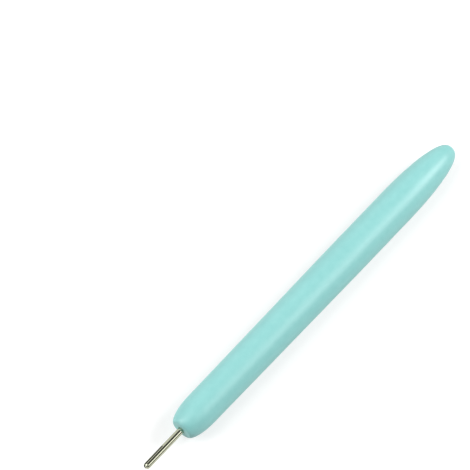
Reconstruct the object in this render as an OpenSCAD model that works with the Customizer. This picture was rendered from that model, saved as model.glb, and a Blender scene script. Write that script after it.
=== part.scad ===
// Slotted quilling tool: a steel needle with a slot for the paper strip, held in a moulded plastic handle.
// The tool lies on its side on Z = 0, its needle points along +X, and the origin is below its middle.
// All sizes are in millimetres and all angles in degrees.

/* [Handle] */
// Length of the part that narrows from the grip to the needle end of the handle
taper_l = 55.5; // [30:0.5:70]
// Length of the parallel grip
grip_l = 17.8; // [8:0.1:40]
// Length of the domed tail
tail_l = 19.7; // [10:0.1:32]
// Diameter of the parallel grip
grip_d = 8.9; // [7.5:0.05:14]
// Diameter that the taper would reach at the very front of the handle
front_d = 8.2; // [7:0.05:13]
// Length of the rounded shoulder at the needle end
shoulder_l = 6.6; // [2:0.1:12]
// Diameter of the small flat face round the needle
face_d = 4.4; // [2.6:0.1:6]
// How late the tail starts to close, as the exponent along its length
tail_reach = 2.05; // [1.6:0.05:3.2]
// How blunt the tail ends, as the exponent across its width
tail_blunt = 2.8; // [1.6:0.05:3.4]

/* [Needle] */
// Diameter of the needle
needle_d = 1.6; // [1.2:0.05:2.2]
// Length of needle that stands out of the handle
needle_out = 12; // [10:0.1:20]
// Length of the rounding at the tip
tip_l = 0.8; // [0.3:0.05:1.2]
// How much narrower that rounding makes the needle's end on each side
tip_round = 0.55; // [0.2:0.05:0.6]
// Depth of the slot, from the tip to the end of its round root
slot_l = 6.3; // [3:0.1:9]
// Width of the slot
slot_w = 0.4; // [0.25:0.05:0.6]
// Turn of the slot about the needle, away from straight up and down
slot_turn = 34; // [0:1:180]

/* [Buried end of the needle] */
// Length of needle inside the handle
tang_l = 16; // [10:0.5:30]
// Number of rolled grooves that keep the needle from pulling out, the first of them right behind the face
groove_n = 6; // [1:1:6]
// Width of a groove at the needle's surface
groove_w = 0.7; // [0.5:0.05:0.8]
// Depth of a groove
groove_deep = 0.2; // [0.05:0.01:0.24]
// Length of the flat that keeps the needle from turning
flat_l = 4; // [2:0.1:5]
// Depth of that flat
flat_deep = 0.3; // [0.1:0.05:0.4]
// Chamfer at the buried end
end_chamfer = 0.25; // [0.1:0.05:0.4]

/* [Hidden] */
$fn = 96;

aqua = "#8CCCC9";
steel = "#C0C2AC";

handle_l = taper_l + grip_l + tail_l;
tool_l = handle_l + needle_out;
// Places along X
tip_x = tool_l / 2;
face_x = tip_x - needle_out;
grip_x = face_x - taper_l;
tail_x = grip_x - grip_l;
// Height of the tool's axis above the surface it lies on
axis_z = grip_d / 2;
// Spacing of the grooves between the face and the flat
groove_pitch = (tang_l - flat_l) / groove_n;
// How far a cutter reaches past what it cuts
past = 1;
// Steps in the outlines of the tail, of the shoulder and of the needle's tip
tail_steps = 28;
shoulder_steps = 18;
tip_steps = 8;

// Radius of the tapered part at distance d behind the handle's face
function taper_r(d) = (front_d + (grip_d - front_d) * d / taper_l) / 2;

// Outline points are [distance from the axis, place along X]
function tail_point(a) = [
    axis_z * pow(sin(a), 2 / tail_blunt),
    tail_x - tail_l * pow(cos(a), 2 / tail_reach)
];

function shoulder_point(a) =
    let (d = shoulder_l * (1 - cos(a)))
    [face_d / 2 + (taper_r(d) - face_d / 2) * sin(a), face_x - d];

function tip_point(a) = [
    needle_d / 2 - tip_round + tip_round * cos(a),
    tip_x - tip_l + tip_l * sin(a)
];

// Turns an outline round the tool's axis
module turned() {
    translate([0, 0, axis_z])
        rotate([0, 90, 0])
            rotate_extrude()
                children();
}

// The handle before the needle's seat is taken out of it
module handle_blank() {
    tail = [for (i = [0:tail_steps]) tail_point(90 * i / tail_steps)];
    shoulder = [for (i = [0:shoulder_steps]) shoulder_point(90 - 90 * i / shoulder_steps)];
    turned()
        polygon(concat(tail, [[axis_z, grip_x]], shoulder, [[0, face_x]]));
}

module needle_outline() {
    end_x = face_x - tang_l;
    r = needle_d / 2;
    tip = [for (i = [0:tip_steps]) tip_point(90 * i / tip_steps)];
    polygon(concat([[0, end_x], [r - end_chamfer, end_x], [r, end_x + end_chamfer]], tip, [[0, tip_x]]));
}

// One groove with sloping sides, its front edge at place x
module groove_outline(x) {
    r = needle_d / 2;
    slope = groove_w / 4;
    polygon([
        [r + past, x],
        [r, x],
        [r - groove_deep, x - slope],
        [r - groove_deep, x - groove_w + slope],
        [r, x - groove_w],
        [r + past, x - groove_w]
    ]);
}

// The needle as bar stock with its grooves and its flat, before the slot is cut
module needle_blank() {
    difference() {
        turned()
            difference() {
                needle_outline();
                for (i = [0:groove_n - 1])
                    groove_outline(face_x - i * groove_pitch);
            }
        translate([face_x - tang_l - past, -needle_d / 2 - past, axis_z + needle_d / 2 - flat_deep])
            cube([flat_l + past, needle_d + 2 * past, flat_deep + past]);
    }
}

// The slot's cutter: straight sides and a round root
module slot_cutter() {
    across = needle_d + 2 * past;
    root_x = tip_x - slot_l + slot_w / 2;
    translate([0, 0, axis_z])
        rotate([slot_turn, 0, 0])
            translate([root_x, 0, -across / 2]) {
                translate([0, -slot_w / 2, 0])
                    cube([slot_l + past, slot_w, across]);
                cylinder(d = slot_w, h = across);
            }
}

// The seat is the needle's own shape, because the handle is moulded round it with no gap
module handle() {
    color(aqua)
        difference() {
            handle_blank();
            needle_blank();
        }
}

module slotted_needle() {
    color(steel)
        difference() {
            needle_blank();
            slot_cutter();
        }
}

handle();
slotted_needle();
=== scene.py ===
"""Slotted quilling tool: a satin moulded handle and a slotted steel needle, dressed over the CAD frame."""

import logging
import math
from collections.abc import Mapping
from dataclasses import dataclass, field
from enum import Enum

import bmesh
import bpy
from mathutils import Matrix, Vector


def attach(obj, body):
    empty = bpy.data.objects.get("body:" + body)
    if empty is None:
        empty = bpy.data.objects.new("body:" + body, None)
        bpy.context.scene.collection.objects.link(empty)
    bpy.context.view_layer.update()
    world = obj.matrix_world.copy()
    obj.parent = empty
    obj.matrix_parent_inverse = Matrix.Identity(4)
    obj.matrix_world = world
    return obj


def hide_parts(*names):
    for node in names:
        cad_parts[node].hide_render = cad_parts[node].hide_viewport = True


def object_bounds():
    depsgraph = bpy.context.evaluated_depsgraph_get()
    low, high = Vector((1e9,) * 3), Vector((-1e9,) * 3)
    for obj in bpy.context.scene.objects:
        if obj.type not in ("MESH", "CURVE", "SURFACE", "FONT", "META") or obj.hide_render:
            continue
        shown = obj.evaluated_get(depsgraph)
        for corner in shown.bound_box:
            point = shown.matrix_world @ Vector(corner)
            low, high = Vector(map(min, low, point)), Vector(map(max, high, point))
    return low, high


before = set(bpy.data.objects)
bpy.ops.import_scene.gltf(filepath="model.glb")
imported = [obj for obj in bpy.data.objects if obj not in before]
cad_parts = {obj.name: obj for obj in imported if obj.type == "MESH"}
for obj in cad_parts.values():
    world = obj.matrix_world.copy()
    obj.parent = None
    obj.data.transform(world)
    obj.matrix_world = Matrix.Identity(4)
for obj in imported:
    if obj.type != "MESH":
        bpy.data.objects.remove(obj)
CAD_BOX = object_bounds()

LOG = logging.getLogger("quilling_tool")
MM = 0.001
FULL_TURN = 2.0 * math.pi
QUARTER_TURN = FULL_TURN / 4
# Points this close together are one point
TOUCHING = 0.0001 * MM
# Points this close to a cutting plane lie on it
ON_PLANE = 0.00001 * MM
# Faces that meet at a larger angle than this show a crisp edge
CRISP_ANGLE = math.radians(15)
# A Mix node has inputs and outputs of the same name for each kind of value; these are its colour ones
COLOUR_A, COLOUR_B, COLOUR_RESULT = 6, 7, 2
# The slot's walls take the second of the needle's finishes, whose dark grey is painted shade
PAINTED_SHADE_SLOT_FINISH = 1


class Slot(Enum):
    """The record's material slots."""

    HANDLE = "handle_plastic"
    NEEDLE = "needle_steel"


def linear(hex_code: str) -> tuple[float, float, float, float]:
    """Turns an sRGB colour into Blender's linear one.

    Args:
        hex_code: The colour as six hex digits after a hash.

    Returns:
        Red, green, blue and alpha 1 in linear light.
    """
    shares = [int(hex_code[i : i + 2], 16) / 255 for i in (1, 3, 5)]
    red, green, blue = (s / 12.92 if s <= 0.04045 else ((s + 0.055) / 1.055) ** 2.4 for s in shares)
    return red, green, blue, 1.0


def add_node(
    tree: bpy.types.NodeTree,
    kind: str,
    settings: Mapping[str, object] | None = None,
    inputs: Mapping[str | int, object] | None = None,
) -> bpy.types.Node:
    """Adds one node with its settings, values and links.

    Args:
        tree: The node tree that gets the node.
        kind: Blender's name of the node type.
        settings: The node's own properties by name.
        inputs: Values for its inputs, by name or number. An output socket is linked.

    Returns:
        The new node.
    """
    node = tree.nodes.new(kind)
    for name, value in (settings or {}).items():
        setattr(node, name, value)
    for key, value in (inputs or {}).items():
        if isinstance(value, bpy.types.NodeSocket):
            tree.links.new(value, node.inputs[key])
        else:
            node.inputs[key].default_value = value
    return node


def new_material(name: str) -> tuple[bpy.types.Material, bpy.types.NodeTree]:
    """Makes a material whose node tree is still empty.

    Args:
        name: What the surface is.

    Returns:
        The material and its node tree.
    """
    material = bpy.data.materials.new(name)
    material.use_nodes = True
    material.node_tree.nodes.clear()
    return material, material.node_tree


@dataclass(frozen=True)
class SatinMouldedPlastic:
    """Opaque polystyrene, injection moulded in a tool with a fine satin grain.

    The eye sees one body colour with very faint clouds, under a broad soft sheen. The sheen's edges waver a
    little where the thick moulding has shrunk, and a close look finds the fine grain.
    """

    body: str = "#85C7C4"
    pale: str = "#93D1CE"
    ior: float = 1.59
    roughness: float = 0.45
    # The pigment has flowed into faint clouds a millimetre or two across, which differ in gloss too
    cloud: float = 1.5 * MM
    cloud_low: float = 0.3
    cloud_high: float = 0.7
    gloss_swing: float = 0.03
    # Real satin grain is about 0.05 mm. It is drawn coarser, to show as a faint bite in the sheen
    grain: float = 0.3 * MM
    grain_height: float = 0.004 * MM
    # Shrinkage leaves swells some 7 mm long
    swell: float = 7.0 * MM
    swell_height: float = 0.03 * MM

    def build(self) -> bpy.types.Material:
        """Builds the material's nodes.

        Returns:
            The finished material.
        """
        material, tree = new_material("satin_moulded_polystyrene")
        place = add_node(tree, "ShaderNodeTexCoord").outputs["Object"]
        cloud = add_node(
            tree,
            "ShaderNodeTexNoise",
            inputs={"Vector": place, "Scale": 1.0 / self.cloud, "Detail": 3.0},
        ).outputs["Fac"]
        colour = add_node(
            tree,
            "ShaderNodeMix",
            {"data_type": "RGBA"},
            {"Factor": cloud, COLOUR_A: linear(self.body), COLOUR_B: linear(self.pale)},
        ).outputs[COLOUR_RESULT]
        gloss = add_node(
            tree,
            "ShaderNodeMapRange",
            inputs={
                "Value": cloud,
                "From Min": self.cloud_low,
                "From Max": self.cloud_high,
                "To Min": self.roughness - self.gloss_swing,
                "To Max": self.roughness + self.gloss_swing,
            },
        ).outputs["Result"]
        swells = add_node(
            tree,
            "ShaderNodeTexNoise",
            inputs={"Vector": place, "Scale": 1.0 / self.swell, "Detail": 1.0},
        ).outputs["Fac"]
        grains = add_node(
            tree,
            "ShaderNodeTexNoise",
            inputs={"Vector": place, "Scale": 1.0 / self.grain, "Detail": 2.0},
        ).outputs["Fac"]
        wavy = add_node(
            tree,
            "ShaderNodeBump",
            inputs={"Strength": 1.0, "Distance": self.swell_height, "Height": swells},
        ).outputs["Normal"]
        skin = add_node(
            tree,
            "ShaderNodeBump",
            inputs={"Strength": 1.0, "Distance": self.grain_height, "Height": grains, "Normal": wavy},
        ).outputs["Normal"]
        shader = add_node(
            tree,
            "ShaderNodeBsdfPrincipled",
            inputs={"Base Color": colour, "Roughness": gloss, "IOR": self.ior, "Normal": skin},
        ).outputs["BSDF"]
        add_node(tree, "ShaderNodeOutputMaterial", inputs={"Surface": shader})
        return material


@dataclass(frozen=True)
class BrightDrawnSteel:
    """Spring steel wire, drawn through a die and then polished bright.

    The eye sees sharp dark and pale bands along the needle, because a thin polished rod mirrors the whole
    room round it, and faint draw lines that run the same way. The tip was rounded off on a stone, so the
    bands grow dull there.
    """

    tip_x: float
    # The stone's finish begins with the tip's rounding and is full halfway along it
    tip_l: float = 0.8 * MM
    steel: str = "#C6C8B2"
    shade: str = "#B9BBA5"
    edge: str = "#D2D4CC"
    roughness: float = 0.07
    tip_roughness: float = 0.42
    # Draw lines are about 0.05 mm apart and some 20 times as long
    line: float = 0.05 * MM
    stretch: float = 20.0
    line_height: float = 0.0003 * MM

    def build(self) -> bpy.types.Material:
        """Builds the material's nodes.

        Returns:
            The finished material.
        """
        material, tree = new_material("bright_drawn_steel")
        place = add_node(tree, "ShaderNodeTexCoord").outputs["Object"]
        drawn = add_node(
            tree,
            "ShaderNodeMapping",
            inputs={"Vector": place, "Scale": (1.0 / self.stretch, 1.0, 1.0)},
        ).outputs["Vector"]
        lines = add_node(
            tree,
            "ShaderNodeTexNoise",
            inputs={"Vector": drawn, "Scale": 1.0 / self.line, "Detail": 2.0},
        ).outputs["Fac"]
        colour = add_node(
            tree,
            "ShaderNodeMix",
            {"data_type": "RGBA"},
            {"Factor": lines, COLOUR_A: linear(self.shade), COLOUR_B: linear(self.steel)},
        ).outputs[COLOUR_RESULT]
        along = add_node(tree, "ShaderNodeSeparateXYZ", inputs={"Vector": place}).outputs["X"]
        dullness = add_node(
            tree,
            "ShaderNodeMapRange",
            inputs={
                "Value": along,
                "From Min": self.tip_x - self.tip_l,
                "From Max": self.tip_x - self.tip_l / 2,
                "To Min": self.roughness,
                "To Max": self.tip_roughness,
            },
        ).outputs["Result"]
        skin = add_node(
            tree,
            "ShaderNodeBump",
            inputs={"Strength": 1.0, "Distance": self.line_height, "Height": lines},
        ).outputs["Normal"]
        shader = add_node(
            tree,
            "ShaderNodeBsdfPrincipled",
            inputs={
                "Base Color": colour,
                "Metallic": 1.0,
                "Roughness": dullness,
                "Specular Tint": linear(self.edge),
                "Normal": skin,
            },
        ).outputs["BSDF"]
        add_node(tree, "ShaderNodeOutputMaterial", inputs={"Surface": shader})
        return material


@dataclass(frozen=True)
class SawnSteelPaintedShade:
    """The slot's walls, cut with a thin saw and left as the saw left them.

    The eye sees a dull dark grey line: the walls are rough as sawn, and their dark grey is painted shade.
    """

    # Both greys are painted shade for the inside of the slot
    steel: str = "#5C5C54"
    shade: str = "#46463F"
    roughness: float = 0.5
    # Saw marks are about 0.03 mm apart
    mark: float = 0.03 * MM
    mark_height: float = 0.002 * MM

    def build(self) -> bpy.types.Material:
        """Builds the material's nodes.

        Returns:
            The finished material.
        """
        material, tree = new_material("sawn_steel_painted_shade")
        place = add_node(tree, "ShaderNodeTexCoord").outputs["Object"]
        marks = add_node(
            tree,
            "ShaderNodeTexNoise",
            inputs={"Vector": place, "Scale": 1.0 / self.mark, "Detail": 1.0},
        ).outputs["Fac"]
        colour = add_node(
            tree,
            "ShaderNodeMix",
            {"data_type": "RGBA"},
            {"Factor": marks, COLOUR_A: linear(self.shade), COLOUR_B: linear(self.steel)},
        ).outputs[COLOUR_RESULT]
        skin = add_node(
            tree,
            "ShaderNodeBump",
            inputs={"Strength": 1.0, "Distance": self.mark_height, "Height": marks},
        ).outputs["Normal"]
        shader = add_node(
            tree,
            "ShaderNodeBsdfPrincipled",
            inputs={"Base Color": colour, "Metallic": 1.0, "Roughness": self.roughness, "Normal": skin},
        ).outputs["BSDF"]
        add_node(tree, "ShaderNodeOutputMaterial", inputs={"Surface": shader})
        return material


@dataclass(frozen=True)
class WhiteSweep:
    """Matt white backdrop paper under the tool.

    The eye sees plain white with only a faint shadow, so the paper is a pale diffuse sheet that also adds a
    little light of its own to what the camera, a mirror or a clear surface sees of it.
    """

    paper: str = "#C4C4C4"
    lift: float = 0.5

    def build(self) -> bpy.types.Material:
        """Builds the material's nodes.

        Returns:
            The finished material.
        """
        material, tree = new_material("matt_white_paper")
        rays = add_node(tree, "ShaderNodeLightPath").outputs
        seen = add_node(
            tree,
            "ShaderNodeMath",
            {"operation": "MAXIMUM"},
            {0: rays["Is Camera Ray"], 1: rays["Is Glossy Ray"]},
        ).outputs[0]
        seen = add_node(
            tree,
            "ShaderNodeMath",
            {"operation": "MAXIMUM"},
            {0: seen, 1: rays["Is Transmission Ray"]},
        ).outputs[0]
        amount = add_node(
            tree, "ShaderNodeMath", {"operation": "MULTIPLY"}, {0: seen, 1: self.lift}
        ).outputs[0]
        sheet = add_node(tree, "ShaderNodeBsdfDiffuse", inputs={"Color": linear(self.paper)}).outputs[0]
        glow = add_node(tree, "ShaderNodeEmission", inputs={"Strength": amount}).outputs[0]
        both = add_node(tree, "ShaderNodeAddShader", inputs={0: sheet, 1: glow}).outputs[0]
        add_node(tree, "ShaderNodeOutputMaterial", inputs={"Surface": both})
        return material


def finish_piece(
    name: str, shape: bmesh.types.BMesh, materials: list[bpy.types.Material], node: str
) -> bpy.types.Object:
    """Turns a closed bmesh into a smooth piece that stands for one CAD node.

    Args:
        name: The piece's name.
        shape: The piece in the row frame, in metres. It is freed.
        materials: Its finishes, in the order of the faces' material numbers.
        node: The CAD node that it replaces.

    Returns:
        The piece, riding on the tool's one body.
    """
    bmesh.ops.remove_doubles(shape, verts=shape.verts, dist=TOUCHING)
    bmesh.ops.recalc_face_normals(shape, faces=shape.faces)
    mesh = bpy.data.meshes.new(name)
    shape.to_mesh(mesh)
    shape.free()
    mesh.shade_smooth()
    mesh.set_sharp_from_angle(angle=CRISP_ANGLE)
    for material in materials:
        mesh.materials.append(material)
    piece = bpy.data.objects.new(name, mesh)
    bpy.context.scene.collection.objects.link(piece)
    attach(piece, "root")
    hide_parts(node)
    return piece


def spin_outline(outline: list[tuple[float, float]], axis_z: float, steps: int) -> bmesh.types.BMesh:
    """Turns an outline round the tool's axis into a closed shape.

    Args:
        outline: Points as (place along X, distance from the axis), from end to end on the axis.
        axis_z: Height of the axis.
        steps: Faces round a full turn.

    Returns:
        The turned shape.
    """
    shape = bmesh.new()
    points = [shape.verts.new((x, 0.0, axis_z + r)) for x, r in outline]
    edges = [shape.edges.new(pair) for pair in zip(points, points[1:])]
    bmesh.ops.spin(
        shape,
        geom=points + edges,
        cent=(0.0, 0.0, axis_z),
        axis=(1.0, 0.0, 0.0),
        angle=FULL_TURN,
        steps=steps,
        use_merge=True,
    )
    bmesh.ops.remove_doubles(shape, verts=shape.verts, dist=TOUCHING)
    return shape


@dataclass
class SlottedNeedle:
    """The steel needle: a round tip with a slot down the middle, and a keyed end inside the handle."""

    material: bpy.types.Material
    slot_painted_shade_material: bpy.types.Material
    tip_x: float
    axis_z: float
    needle_d: float = 1.6 * MM
    needle_out: float = 12.0 * MM
    tip_l: float = 0.8 * MM
    tip_round: float = 0.55 * MM
    slot_l: float = 6.3 * MM
    slot_w: float = 0.4 * MM
    slot_turn: float = math.radians(34)
    slot_edge: float = 0.015 * MM
    # Edges that turn more than this after the slot is cut carry a burr
    burr_angle: float = math.radians(40)
    # How far a point may lie off a wall of the slot or off the rod's skin and still count as on it
    slack: float = 0.002 * MM
    tang_l: float = 16.0 * MM
    groove_n: int = 6
    groove_w: float = 0.7 * MM
    groove_deep: float = 0.2 * MM
    flat_l: float = 4.0 * MM
    flat_deep: float = 0.3 * MM
    end_chamfer: float = 0.25 * MM
    # Length over which the flat ends and the full rod begins
    flat_step: float = 0.01 * MM
    steps: int = 64
    tip_steps: int = 10

    @property
    def face_x(self) -> float:
        """Where the needle comes out of the handle."""
        return self.tip_x - self.needle_out

    @property
    def root_x(self) -> float:
        """Where the middle of the slot's round root lies."""
        return self.tip_x - self.slot_l + self.slot_w / 2

    def tang_outline(self) -> list[tuple[float, float]]:
        """Draws the buried end, from its end on the axis to the handle's face.

        Returns:
            Points as (place along X, distance from the axis).
        """
        r = self.needle_d / 2
        end_x = self.face_x - self.tang_l
        pitch = (self.tang_l - self.flat_l) / self.groove_n
        slope = self.groove_w / 4
        points = [(end_x, 0.0), (end_x, r - self.end_chamfer), (end_x + self.end_chamfer, r)]
        flat_x = end_x + self.flat_l
        points += [(flat_x - self.flat_step, r), (flat_x, r)]
        for i in reversed(range(self.groove_n)):
            front = self.face_x - i * pitch
            points += [
                (front - self.groove_w, r),
                (front - self.groove_w + slope, r - self.groove_deep),
                (front - slope, r - self.groove_deep),
                (front, r),
            ]
        return points

    def press_flat(self, shape: bmesh.types.BMesh) -> None:
        """Presses the keying flat into the buried end.

        Args:
            shape: A shape that has the tang's outline turned into it.
        """
        flat_end = self.face_x - self.tang_l + self.flat_l - self.flat_step / 2
        top = self.axis_z + self.needle_d / 2 - self.flat_deep
        reach = self.needle_d / 2 + self.slack
        for vert in shape.verts:
            off_axis = math.hypot(vert.co.y, vert.co.z - self.axis_z)
            if vert.co.x < flat_end and off_axis < reach:
                vert.co.z = min(vert.co.z, top)

    def outline(self) -> list[tuple[float, float]]:
        """Draws the whole needle, with one point where the slot's root begins.

        Returns:
            Points as (place along X, distance from the axis).
        """
        r = self.needle_d / 2
        middle = r - self.tip_round
        start = self.tip_x - self.tip_l
        points = self.tang_outline() + [(self.root_x, r)]
        for i in range(self.tip_steps + 1):
            a = QUARTER_TURN * i / self.tip_steps
            points.append((start + self.tip_l * math.sin(a), middle + self.tip_round * math.cos(a)))
        return points + [(self.tip_x, 0.0)]

    def cut_slot(self, shape: bmesh.types.BMesh) -> None:
        """Cuts the slot through the tip, up and down through the needle, with a round root.

        Args:
            shape: The turned needle, before it is turned about its own axis.
        """
        half = self.slot_w / 2
        for side in (half, -half):
            bmesh.ops.bisect_plane(
                shape,
                geom=shape.verts[:] + shape.edges[:] + shape.faces[:],
                plane_co=(0.0, side, 0.0),
                plane_no=(0.0, 1.0, 0.0),
                dist=ON_PLANE,
            )
        for vert in shape.verts:
            if abs(vert.co.x - self.root_x) < TOUCHING and abs(vert.co.y) < half - TOUCHING:
                vert.co.x -= math.sqrt(half**2 - vert.co.y**2)
        gone = [
            face
            for face in shape.faces
            if abs(face.calc_center_median().y) < half - TOUCHING
            and max(vert.co.x for vert in face.verts) > self.root_x + TOUCHING
        ]
        bmesh.ops.delete(shape, geom=gone, context="FACES")
        rims = [edge for edge in shape.edges if edge.is_boundary]
        root = [edge for edge in rims if max(vert.co.x for vert in edge.verts) < self.root_x + TOUCHING]
        bmesh.ops.bridge_loops(shape, edges=root)
        for side in (half, -half):
            wall = [
                edge
                for edge in shape.edges
                if edge.is_boundary and all(abs(vert.co.y - side) < TOUCHING for vert in edge.verts)
            ]
            bmesh.ops.edgeloop_fill(shape, edges=wall)
        self.soften_slot(shape)
        self.mark_walls(shape)

    def soften_slot(self, shape: bmesh.types.BMesh) -> None:
        """Takes the burr off the slot's edges.

        Args:
            shape: The needle with its slot cut.
        """
        reach = self.slot_w / 2 + self.slack
        bmesh.ops.recalc_face_normals(shape, faces=shape.faces)
        sharp = [
            edge
            for edge in shape.edges
            if edge.is_manifold
            and edge.calc_face_angle() > self.burr_angle
            and all(abs(vert.co.y) < reach and vert.co.x > self.root_x - reach for vert in edge.verts)
        ]
        bmesh.ops.bevel(
            shape,
            geom=sharp,
            offset=self.slot_edge,
            offset_type="OFFSET",
            affect="EDGES",
            segments=1,
            profile=0.5,
            material=-1,
            clamp_overlap=True,
        )

    def mark_walls(self, shape: bmesh.types.BMesh) -> None:
        """Gives the slot's walls and root the sawn finish, whose dark grey is painted shade.

        Args:
            shape: The needle with its slot cut.
        """
        reach = self.slot_w / 2 + self.slack
        # A wall spans the rod, so its middle lies near the axis, and no part of the rod's skin does
        near_axis = self.needle_d / 4
        for face in shape.faces:
            middle = face.calc_center_median()
            inside = abs(middle.y) < reach and abs(middle.z - self.axis_z) < near_axis
            if inside and middle.x > self.root_x - reach:
                face.material_index = PAINTED_SHADE_SLOT_FINISH

    def build(self) -> bpy.types.Object:
        """Builds the needle with its slot, its keyed end and both finishes.

        Returns:
            The finished piece.
        """
        shape = spin_outline(self.outline(), self.axis_z, self.steps)
        self.cut_slot(shape)
        bmesh.ops.rotate(
            shape,
            verts=shape.verts,
            cent=(0.0, 0.0, self.axis_z),
            matrix=Matrix.Rotation(self.slot_turn, 3, "X"),
        )
        self.press_flat(shape)
        finishes = [self.material, self.slot_painted_shade_material]
        return finish_piece("slotted_needle_steel", shape, finishes, "slotted_needle")


@dataclass
class MouldedHandle:
    """The one-piece plastic handle, moulded round the buried end of the needle."""

    material: bpy.types.Material
    needle: SlottedNeedle
    grip_d: float
    taper_l: float = 55.5 * MM
    grip_l: float = 17.8 * MM
    tail_l: float = 19.7 * MM
    front_d: float = 8.2 * MM
    shoulder_l: float = 6.6 * MM
    face_d: float = 4.4 * MM
    tail_reach: float = 2.05
    tail_blunt: float = 2.8
    mouth_round: float = 0.22 * MM
    steps: int = 192
    tail_steps: int = 56
    taper_steps: int = 12
    shoulder_steps: int = 32
    mouth_steps: int = 8

    def taper_r(self, behind: float) -> float:
        """The taper's radius at a distance behind the handle's face."""
        return (self.front_d + (self.grip_d - self.front_d) * behind / self.taper_l) / 2

    def tail_point(self, a: float) -> tuple[float, float]:
        """Finds a point of the tail's dome.

        Args:
            a: The point's angle, from 0 on the axis to a quarter turn at the grip.

        Returns:
            Its place along X and its distance from the axis.
        """
        tail_x = self.needle.face_x - self.taper_l - self.grip_l
        x = tail_x - self.tail_l * max(math.cos(a), 0.0) ** (2 / self.tail_reach)
        return x, self.grip_d / 2 * math.sin(a) ** (2 / self.tail_blunt)

    def shoulder_point(self, a: float) -> tuple[float, float]:
        """Finds a point of the shoulder.

        Args:
            a: The point's angle, from 0 at the face to a quarter turn at the taper.

        Returns:
            Its place along X and its distance from the axis.
        """
        behind = self.shoulder_l * (1 - math.cos(a))
        r = self.face_d / 2 + (self.taper_r(behind) - self.face_d / 2) * math.sin(a)
        return self.needle.face_x - behind, r

    def outline(self) -> list[tuple[float, float]]:
        """Draws the handle: its skin from tail to mouth, then the seat of the needle.

        Returns:
            Points as (place along X, distance from the axis).
        """
        face_x = self.needle.face_x
        points = [self.tail_point(QUARTER_TURN * i / self.tail_steps) for i in range(self.tail_steps + 1)]
        for i in range(self.taper_steps):
            behind = self.taper_l + (self.shoulder_l - self.taper_l) * i / self.taper_steps
            points.append((face_x - behind, self.taper_r(behind)))
        for i in range(self.shoulder_steps + 1):
            points.append(self.shoulder_point(QUARTER_TURN * (1 - i / self.shoulder_steps)))
        mouth = self.needle.needle_d / 2 + self.mouth_round
        for i in range(self.mouth_steps + 1):
            a = QUARTER_TURN * i / self.mouth_steps
            x = face_x - self.mouth_round * (1 - math.cos(a))
            points.append((x, mouth - self.mouth_round * math.sin(a)))
        seat = [(x, r) for x, r in self.needle.tang_outline() if x < face_x - self.mouth_round]
        return points + seat[::-1]

    def build(self) -> bpy.types.Object:
        """Builds the handle with the needle's seat in it.

        Returns:
            The finished piece.
        """
        shape = spin_outline(self.outline(), self.needle.axis_z, self.steps)
        self.needle.press_flat(shape)
        return finish_piece("handle_plastic", shape, [self.material], "handle")


@dataclass(frozen=True)
class SoftLamp:
    """A plain rectangular studio lamp, aimed at a point of the tool."""

    name: str
    place: tuple[float, float, float]
    aim: tuple[float, float, float]
    size: tuple[float, float]
    power: float

    def build(self) -> bpy.types.Object:
        """Hangs the lamp.

        Returns:
            The lamp's object.
        """
        data = bpy.data.lights.new(self.name, "AREA")
        data.shape = "RECTANGLE"
        data.size, data.size_y = self.size
        data.energy = self.power
        lamp = bpy.data.objects.new(self.name, data)
        away = Vector(self.place) - Vector(self.aim)
        turn = away.to_track_quat("Z", "Y").to_matrix()
        lamp.matrix_world = Matrix.Translation(Vector(self.place)) @ turn.to_4x4()
        bpy.context.scene.collection.objects.link(lamp)
        return lamp


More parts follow.
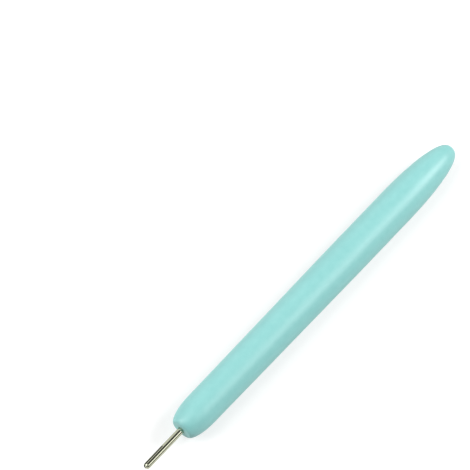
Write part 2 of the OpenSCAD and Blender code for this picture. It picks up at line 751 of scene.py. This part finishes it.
@dataclass
class Studio:
    """The paper, the lamps, the room's own light and the camera."""

    axis_z: float
    paper_half: float = 3.0
    paper_cells: int = 8
    # The camera's bearing round the tool and its height above the horizon, in degrees
    camera_bearing: float = 131.39
    camera_height: float = 65.0
    distance: float = 1.0
    nearest: float = 0.05
    farthest: float = 20.0
    # The lens and the sensor's width in millimetres, as Blender takes them
    lens: float = 340.1
    sensor: float = 36.0
    # How far the middle of the picture lies from the tool's middle, to the right and up in the picture
    aim_right: float = -14.83 * MM
    aim_up: float = 15.83 * MM
    room: str = "#B8B8B8"
    room_strength: float = 0.125
    lamps: list[SoftLamp] = field(default_factory=list)

    def hang_camera(self) -> bpy.types.Object:
        """Places the camera at the photograph's viewing angle.

        Returns:
            The camera's object.
        """
        bearing, height = math.radians(self.camera_bearing), math.radians(self.camera_height)
        back = Vector(
            (
                math.sin(bearing) * math.cos(height),
                -math.cos(bearing) * math.cos(height),
                math.sin(height),
            )
        )
        right = Vector((math.cos(bearing), math.sin(bearing), 0.0))
        up = back.cross(right)
        target = Vector((0.0, 0.0, self.axis_z)) + right * self.aim_right + up * self.aim_up
        data = bpy.data.cameras.new("camera")
        data.lens = self.lens
        data.sensor_width = self.sensor
        data.clip_start = self.nearest
        data.clip_end = self.farthest
        camera = bpy.data.objects.new("camera", data)
        turn = Matrix((right, up, back)).transposed()
        camera.matrix_world = Matrix.Translation(target + back * self.distance) @ turn.to_4x4()
        bpy.context.scene.collection.objects.link(camera)
        bpy.context.scene.camera = camera
        return camera

    def lay_paper(self) -> bpy.types.Object:
        """Lays the white paper under the tool.

        Returns:
            The paper's object.
        """
        shape = bmesh.new()
        cells = self.paper_cells
        bmesh.ops.create_grid(shape, x_segments=cells, y_segments=cells, size=self.paper_half)
        mesh = bpy.data.meshes.new("paper")
        shape.to_mesh(mesh)
        shape.free()
        mesh.materials.append(WhiteSweep().build())
        paper = bpy.data.objects.new("paper", mesh)
        bpy.context.scene.collection.objects.link(paper)
        return paper

    def light_room(self) -> None:
        """Gives the room a plain dim light."""
        world = bpy.data.worlds.new("room")
        world.use_nodes = True
        world.node_tree.nodes.clear()
        light = add_node(
            world.node_tree,
            "ShaderNodeBackground",
            inputs={"Color": linear(self.room), "Strength": self.room_strength},
        ).outputs[0]
        add_node(world.node_tree, "ShaderNodeOutputWorld", inputs={"Surface": light})
        bpy.context.scene.world = world

    def build(self) -> None:
        """Sets up the whole studio."""
        self.lay_paper()
        self.light_room()
        for lamp in self.lamps:
            lamp.build()
        self.hang_camera()
        bpy.context.scene.view_settings.view_transform = "Standard"


def studio_lamps() -> list[SoftLamp]:
    """Lists the five soft lamps round the tool, with places and sizes in metres and powers in watts.

    The window lamp lights the whole length from the picture's upper left, and the front lamp the shoulder
    round the needle. The two strip lamps on the tool's other side draw the line of sheen, which fades
    towards the needle. The top lamp fills the front half from above.

    Returns:
        The lamps.
    """
    return [
        SoftLamp(
            "window_lamp", place=(-0.45, -0.682, 0.418), aim=(-0.45, 0.0, 0.0), size=(1.03, 0.85), power=2.46
        ),
        SoftLamp(
            "front_lamp", place=(0.74, -0.572, 0.559), aim=(0.74, 0.0, 0.0), size=(0.62, 0.6), power=8.5
        ),
        SoftLamp(
            "strip_lamp", place=(-0.6, 0.481, 0.639), aim=(-0.6, 0.0, 0.0), size=(0.3, 0.5), power=8.9
        ),
        SoftLamp(
            "weak_strip_lamp", place=(-0.22, 0.535, 0.595), aim=(-0.22, 0.0, 0.0), size=(0.5, 0.45), power=1.3
        ),
        SoftLamp(
            "top_lamp", place=(0.27, -0.216, 0.846), aim=(0.04, 0.0, 0.0), size=(0.4, 0.4), power=2.2
        ),
    ]


def main() -> None:
    """Builds the pieces and the studio, and reports each piece."""
    logging.basicConfig(level=logging.INFO, format="%(name)s: %(message)s")
    low, high = (Vector(corner) for corner in CAD_BOX)
    axis_z = (low.z + high.z) / 2
    needle = SlottedNeedle(BrightDrawnSteel(high.x).build(), SawnSteelPaintedShade().build(), high.x, axis_z)
    # The grip is the thickest part of the tool, so the frame's height is its diameter
    handle = MouldedHandle(SatinMouldedPlastic().build(), needle, grip_d=high.z - low.z)
    for sub_assembly in (handle, needle):
        piece = sub_assembly.build()
        LOG.info("%s: %d faces", piece.name, len(piece.data.polygons))
    Studio(axis_z, lamps=studio_lamps()).build()


if __name__ == "__main__":
    main()
